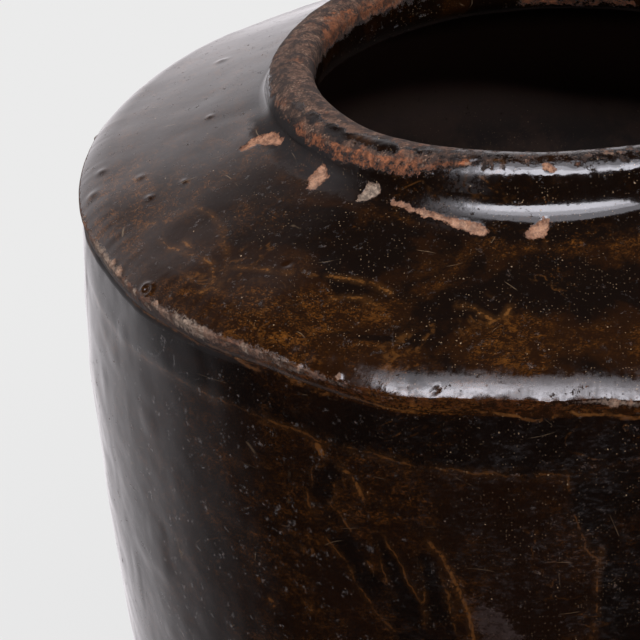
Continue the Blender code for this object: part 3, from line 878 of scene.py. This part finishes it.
def glazed_material():
    n = Nodes("dark_glaze_over_clay")
    wall, inside, coat, from_ridge = (n.field(name) for name in ("wall", "inside", "coat", "from_ridge"))
    colour, zone = glaze_colour(n, wall, coat, from_ridge)
    colour = n.mix(golden_lines(n, wall, coat), colour, GOLD_LINE)
    colour = n.shade(wall, colour, WALL_SHADE)

    # Scuffs and a dull patch on the wall
    scuffs = n.noise(1.6, 6, 0.75, stretch=(0.6, 0.6, 1.3), shift=106, flow=True)
    scuffs = n.times(n.step(scuffs, 0.48, 0.68, 0.004, 0.06), wall, n.step(n.x, -80, 15, 0.08, 1))
    scuffs = n.times(scuffs, n.step(n.noise(13, 4, 0.65, shift=107), 0.42, 0.6, 0.2, 1))
    scuffs = n.times(scuffs, n.step(n.x, 35, 100, 1, 0.25))
    colour = n.mix(scuffs, colour, SCUFFED)
    crawl = n.sway(24, 6, 6, 0.78, stretch=(1, 1, 2.2), shift=109)
    cloudy = n.step(n.noise(3, 5, 0.75, shift=111), 0.36, 0.6, 0.2, 0.62)
    dull_patch = n.times(n.step(n.plus(n.field("dull"), crawl), -0.5, 1.2), cloudy)
    colour = n.mix(dull_patch, colour, DULL_GLAZE)

    # Inside: painted light, a paler colour high on the inner wall where light falls on it through the mouth
    inner = n.mix(n.step(n.noise(12, 4, 0.65, shift=43), 0.42, 0.62), INSIDE_GLAZE, INSIDE_BROWN)
    painted_light_band = n.times(n.step(n.z, 238, 282), n.step(n.z, 292, 284, 0.08, 1))
    colour = n.mix(inside, colour, n.mix(painted_light_band, inner, INSIDE_PAINTED_LIGHT))
    dust, grains = pale_specks(n, wall, zone)
    colour = n.mix(n.most(dust, grains, hair_scratches(n, wall)), colour, SPECK)

    # Bare clay: chips, foot, worn rim, rubbed ridge
    bare_depth = n.plus(n.field("bare"), n.sway(4.4, 1.5, 6, 0.78, shift=61))
    bare = n.step(bare_depth, -0.12, 0.12)
    rust = n.step(n.plus(n.field("rust"), n.sway(8.5, 2.6, 6, 0.78, shift=71)), -0.1, 0.6)
    clean = n.step(n.noise(3, 7, 0.8, shift=75), 0.42, 0.54)
    rust = n.times(rust, n.most(clean, n.step(n.field("rust"), 2.4, 4.5)))
    worn = n.step(n.plus(n.field("worn"), n.sway(4.4, 3.4, 8, 0.8, shift=83)), 0.46, 0.8)
    crest = n.step(n.plus(n.field("crest"), n.sway(7, 1.9, 6, 0.78, shift=87)), 0, 0.7)
    crest = n.times(crest, n.step(n.noise(4.5, 5, 0.7, shift=89), 0.38, 0.54, 0.1, 1))
    crest_pale = n.most(n.step(n.noise(5, 3, 0.6, shift=85), 0.54, 0.66), n.field("pale"))
    crest_tint = n.mix(crest_pale, clay_colour(n, CRUST_BROWN, 25), clay_colour(n, PALE_CLAY, 27))
    rusty = n.step(n.noise(7, 5, 0.7, shift=93), 0.54, 0.7)
    worn_tint = n.mix(rusty, clay_colour(n, WORN_CLAY, 5), clay_colour(n, RUST_CLAY, 15))
    sand = n.step(n.noise(0.9, 4, 0.75, shift=35), 0.52, 0.64, 0, 0.95)
    sand = n.times(sand, n.step(n.noise(6, 3, 0.6, shift=36), 0.42, 0.58, 0.15, 1), 0.8)
    stained = n.step(n.noise(5, 6, 0.78, shift=55), 0.45, 0.56, 0, 0.9)
    worn_tint = n.mix(stained, n.mix(sand, worn_tint, SAND), STAIN)
    colour = n.mix(n.times(worn, 0.9), colour, worn_tint)
    colour = n.mix(n.times(rust, 0.9), colour, clay_colour(n, RUST_CLAY, 9))
    colour = n.mix(n.times(crest, 0.8), colour, crest_tint)
    clay_tint = n.mix(n.field("pale"), clay_colour(n, TERRACOTTA), clay_colour(n, PALE_CLAY, 3))
    # Painted shade: the clay is darker within about a millimetre of a chip's edge
    clay_tint = n.shade(n.step(bare_depth, 1.1, 0.1, 0, 0.9), clay_tint, CHIP_EDGE_PAINTED_SHADE)
    n.put(n.shader.inputs["Base Color"], n.mix(bare, colour, clay_tint))

    # Roughness: sharp and hazy areas, dull where worn
    rough = n.step(n.noise(11, 5, 0.65, shift=91), 0.35, 0.7, 0.06, 0.15)
    rough = n.blend(n.times(grains, 0.4), rough, 0.6)
    rough = n.blend(n.times(n.dots(*DULL_DOTS, 0.06), n.less(1, wall)), rough, 0.34)
    near_ridge = n.times(n.step(n.size(n.less(from_ridge, 4.5)), 9, 2), n.step(n.x, -64, -46))
    combed = n.noise(1.6, 4, 0.65, stretch=(1, 1, 0.3), shift=95, flow=True)
    haze = n.noise(7, 6, 0.75, stretch=(0.6, 0.6, 1.6), shift=96, flow=True)
    haze = n.plus(n.step(haze, 0.4, 0.64, 0, 0.22), n.step(combed, 0.4, 0.65, 0, 0.12))
    misty = n.times(n.field("hazy"), n.step(n.noise(1.4, 5, 0.75, shift=94), 0.35, 0.6, 0.1, 0.34))
    rough = n.plus(rough, n.times(near_ridge, haze), misty)
    side = n.times(n.step(from_ridge, 0.9, -0.2), n.step(from_ridge, -8.5, -6.5), n.step(n.x, -70, -105))
    groove_crust = n.step(n.plus(n.field("groove_black_and_shade"), n.sway(1.6, 6, 5, 0.7, shift=108)), 0.1, 0.9)
    groove_crust = n.times(n.step(n.x, -52, -80), n.step(n.y, -15, -35), groove_crust)
    for share, roughness in ((side, 0.62), (dull_patch, 0.4), (groove_crust, 0.93), (inside, 0.75)):
        rough = n.blend(share, rough, roughness)
    matte = n.most(bare, crest, n.times(worn, 0.9), rust)
    n.fill(n.shader, Roughness=n.blend(matte, rough, BARE_ROUGHNESS), IOR=GLAZE_IOR)

    # Fine relief: orange peel, pinholes, combing, specks that stand up, gritty clay, edges of bare spots
    gritty = n.most(bare, n.times(matte, 0.55))
    n.bumps(
        (n.noise(3.2, 3, 0.5, shift=97), 0.03),
        (n.noise(1.3, 2, 0.6, shift=98), 0.006),
        (n.less(1, n.dots(*PINHOLES, 0.05)), 0.2),
        (n.times(combed, near_ridge), 0.05),
        (n.times(grains, n.blend(wall, 1, 0.5)), 0.04),
        (n.times(n.noise(1, 5, 0.7, shift=101), gritty), 0.75),
        (n.less(1, bare), 0.3),
    )
    return n.material


def plain_clay(name):
    """Fired clay for the sections under the glaze."""
    n = Nodes(name)
    n.put(n.shader.inputs["Base Color"], clay_colour(n, TERRACOTTA))
    n.fill(n.shader, Roughness=n.blend(n.noise(2, 3), 0.8, 0.95))
    n.bumps((n.noise(0.9, 4, 0.65), 0.4))
    return n.material


glazed = glazed_material()
clay = plain_clay("fired_clay_body")
for node in ("lower_wall", "upper_wall", "shoulder_plate", "shoulder_luting_coil", "floor_luting_coil"):
    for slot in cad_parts[node].material_slots:
        slot.material = clay


def grid_mesh(name, grid, directions, fields, poles):
    """A mesh of rows round the jar, closed at the axis by poles or else from the last row to the first."""
    rows = len(grid)
    verts = grid.reshape(-1, 3)
    vert_normals = directions.reshape(-1, 3)
    i = np.arange(rows - 1 if poles else rows)[:, None] * STEPS
    below = (i + STEPS) % (rows * STEPS)
    j = np.arange(STEPS)[None, :]
    ahead = (j + 1) % STEPS
    faces = np.stack([below + j, below + ahead, i + ahead, i + j], -1).reshape(-1, 4).tolist()
    tips = []
    if poles:
        for row, turn in ((0, 1), (rows - 1, -1)):
            tip = np.full(STEPS, len(verts) + len(tips))
            fan = np.stack([row * STEPS + j[0], row * STEPS + ahead[0], tip], -1)
            faces += fan[:, ::turn].tolist()
            tips.append(grid[row].mean(0))
        verts = np.concatenate([verts, tips])
        vert_normals = np.concatenate([vert_normals, [(0, 0, 1.0)] * len(tips)])
    mesh = bpy.data.meshes.new(name)
    mesh.from_pydata((verts * MM).tolist(), [], faces)
    for field, values in fields.items():
        at_tips = np.repeat(values[-1:, 0], len(tips), axis=0)
        flat = np.concatenate([values.reshape(-1, *values.shape[2:]), at_tips]).astype(np.float32)
        kind, key = ("FLOAT_VECTOR", "vector") if values.ndim == 3 else ("FLOAT", "value")
        mesh.attributes.new(field, kind, "POINT").data.foreach_set(key, flat.reshape(-1))
    mesh.shade_smooth()
    mesh.normals_split_custom_set_from_vertices(vert_normals.tolist())
    return mesh


def add_piece(name, first, last, closing, directions, sources, nodes, closing_first=False, poles=False):
    """Rows first to last of the surface, and closing rows that take their fields from the source rows."""
    front = slice(first, last + 1)

    def joined(seen, hidden):
        return np.concatenate([hidden, seen] if closing_first else [seen, hidden])

    fields = {field: joined(values[front], values[sources]) for field, values in FIELDS.items()}
    grid = joined(points[front], closing)
    mesh = grid_mesh(name, grid, joined(point_normals[front], directions), fields, poles)
    mesh.materials.append(glazed)
    piece = bpy.data.objects.new(name, mesh)
    bpy.context.scene.collection.objects.link(piece)
    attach(piece, "root")
    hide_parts(*nodes)


def skin(name, first, last, thickness, node, back_step=12, poles=False):
    """A coat over rows first to last, closed behind by a coarser face. It hides its node."""
    back_rows = sorted(set(range(first, last + 1, back_step)) | {last}, reverse=True)
    back = base[back_rows] - base_normals[back_rows] * thickness
    add_piece(name, first, last, back, -base_normals[back_rows], back_rows, [node], poles=poles)


def rim_piece():
    """The rolled rim and its collar, closed underneath through the clay by rows that sag."""
    first, last = starts["flare"], starts["slope"] + 2
    across = np.array([0.25, 0.5, 0.75])[:, None, None]
    closing = base[last] * (1 - across) + base[first] * across
    closing[..., 2] -= RIM_CLOSING_SAG * np.sin(np.pi * across[..., 0])
    down = np.zeros_like(closing) + (0, 0, -1)
    nodes = ["rolled_rim", "neck_collar"]
    add_piece("rolled_rim_and_collar", first, last, closing, down, [last] * 3, nodes)


def foot_piece():
    """The base slab: the jar's foot with its standing ring and recess, closed on top."""
    first, last = starts["foot_side"], starts["end"] - 1
    top = np.array([base[first] * [t, t, 1.0] for t in (0.02, 0.3, 0.6, 0.9)])
    top[..., 2] -= FOOT_TOP_GAP
    up = np.zeros_like(top) + (0, 0, 1)
    add_piece("foot_slab", first, last, top, up, [first] * 4, ["base_slab"], True, True)


rim_piece()
foot_piece()
skin("inner_glaze_coat", 0, starts["flare"], 0.5, "inner_glaze", back_step=4, poles=True)
skin("shoulder_glaze", starts["slope"] + 2, starts["upper_wall"], 1.0, "outer_glaze")
skin("upper_wall_glaze", starts["upper_wall"], starts["middle_wall"], 0.5, "outer_glaze")
skin("middle_wall_glaze", starts["middle_wall"], starts["lower_wall"], 0.5, "outer_glaze")
skin("lower_wall_glaze", starts["lower_wall"], starts["foot_side"], 0.4, "outer_glaze")

# Stage: pale floor, soft overhead light and a bright backdrop behind the jar
BACKGROUND = (0.83, 0.83, 0.83, 1)
FLOOR_SIZE = 6.0
FLOOR_COLOUR = (0.8, 0.8, 0.8, 1)
FLOOR_FADE = (0.15, 0.6, 0.93, 1.0)
WORLD_TINT = (1.01, 0.962, 1.0, 1)
WORLD_GLOW = 1.05
WORLD_DIM = 0.012


def make_floor():
    """A matte floor that the camera sees fade into the background away from the jar."""
    bpy.ops.mesh.primitive_plane_add(size=FLOOR_SIZE)
    floor = bpy.context.object
    floor.name = "floor"
    material = bpy.data.materials.new("pale_floor")
    material.use_nodes = True
    g = Graph(material.node_tree)
    g.tree.nodes.clear()
    where = g.add("ShaderNodeTexCoord").outputs["Object"]
    distance = g.add("ShaderNodeVectorMath", where, operation="LENGTH").outputs["Value"]
    seen = g.add("ShaderNodeLightPath").outputs["Is Camera Ray"]
    share = g.times(g.step(distance, *FLOOR_FADE), seen)
    matte = g.add("ShaderNodeBsdfDiffuse", FLOOR_COLOUR).outputs[0]
    glow = g.add("ShaderNodeEmission", BACKGROUND).outputs[0]
    g.add("ShaderNodeOutputMaterial", g.add("ShaderNodeMixShader", share, matte, glow).outputs[0])
    floor.data.materials.append(material)
    floor.visible_glossy = False


def make_world():
    """Dim all round, bright low down behind the jar, and the plain background for the camera."""
    world = bpy.data.worlds.new("studio")
    bpy.context.scene.world = world
    world.use_nodes = True
    g = Graph(world.node_tree)
    g.tree.nodes.clear()
    direction = g.add("ShaderNodeTexCoord").outputs["Generated"]
    _, y, z = g.add("ShaderNodeSeparateXYZ", direction).outputs
    level = g.math("SQRT", g.less(1.0, g.times(z, z)))
    behind = g.math("DIVIDE", y, g.most(level, 0.05))
    ramp = g.math("POWER", g.add("ShaderNodeMapRange", behind, -0.35, 0.95).outputs[0], 1.6)
    low = g.step(z, 0.2, 0.8, 1.0, 0.015)
    glow = g.plus(g.times(ramp, low, WORLD_GLOW), WORLD_DIM)
    dim = g.add("ShaderNodeBackground", WORLD_TINT, glow).outputs[0]
    plain = g.add("ShaderNodeBackground", BACKGROUND).outputs[0]
    seen = g.add("ShaderNodeLightPath").outputs["Is Camera Ray"]
    g.add("ShaderNodeOutputWorld", g.add("ShaderNodeMixShader", seen, dim, plain).outputs[0])


# Softboxes: share of the full height and glow of each, one over another, brightest along the far edge
SOFTBOX_SIZE = (1.4, 0.75)
SOFTBOX_GLOWS = ((1.0, 2.4), (0.62, 3.6), (0.36, 4.8))
SOFTBOX_STEP = 0.005
SOFTBOX_TINT = (0.97, 0.955, 1.045)
SOFTBOX_CENTRE = Vector((-0.03, -0.66, 1.49))
SOFTBOX_AIM = Vector((0.06, -0.12, 0.3))


def make_softbox(name, width, height, glow, shift, nearer):
    """A soft panel of light that faces the jar, moved by shift to the camera and by nearer to the jar."""
    lamp = bpy.data.lights.new(name, "AREA")
    lamp.shape = "RECTANGLE"
    lamp.size, lamp.size_y = width, height
    lamp.energy = glow * math.pi * width * height
    lamp.color = SOFTBOX_TINT
    turn = (SOFTBOX_CENTRE - SOFTBOX_AIM).to_track_quat("Z", "Y")
    box = bpy.data.objects.new(name, lamp)
    box.location = SOFTBOX_CENTRE + turn @ Vector((0.0, -shift, -nearer))
    box.rotation_euler = turn.to_euler()
    box.visible_camera = False
    bpy.context.scene.collection.objects.link(box)


CAMERA_PLACE = Vector((0.0, -0.69458, 0.62909))
CAMERA_FORWARD = Vector((-0.1028, 0.86698, -0.48763))
CAMERA_UP = Vector((-0.00428, 0.48984, 0.8718))
CAMERA_LENS = 135.0
CAMERA_SENSOR = 36.0


def make_camera():
    camera = bpy.data.objects.new("camera", bpy.data.cameras.new("camera"))
    camera.data.lens = CAMERA_LENS
    camera.data.sensor_width = CAMERA_SENSOR
    right = CAMERA_FORWARD.cross(CAMERA_UP)
    turn = Matrix((right, CAMERA_UP, -CAMERA_FORWARD)).transposed()
    camera.matrix_world = Matrix.Translation(CAMERA_PLACE) @ turn.to_4x4()
    bpy.context.scene.collection.objects.link(camera)
    bpy.context.scene.camera = camera


make_floor()
make_world()
width, height = SOFTBOX_SIZE
for number, (share, glow) in enumerate(SOFTBOX_GLOWS):
    shift, nearer = height * (1 - share) / 2, SOFTBOX_STEP * number
    make_softbox(f"softbox_{number}", width, height * share, glow, shift, nearer)
make_camera()
bpy.context.scene.view_settings.view_transform = "Standard"
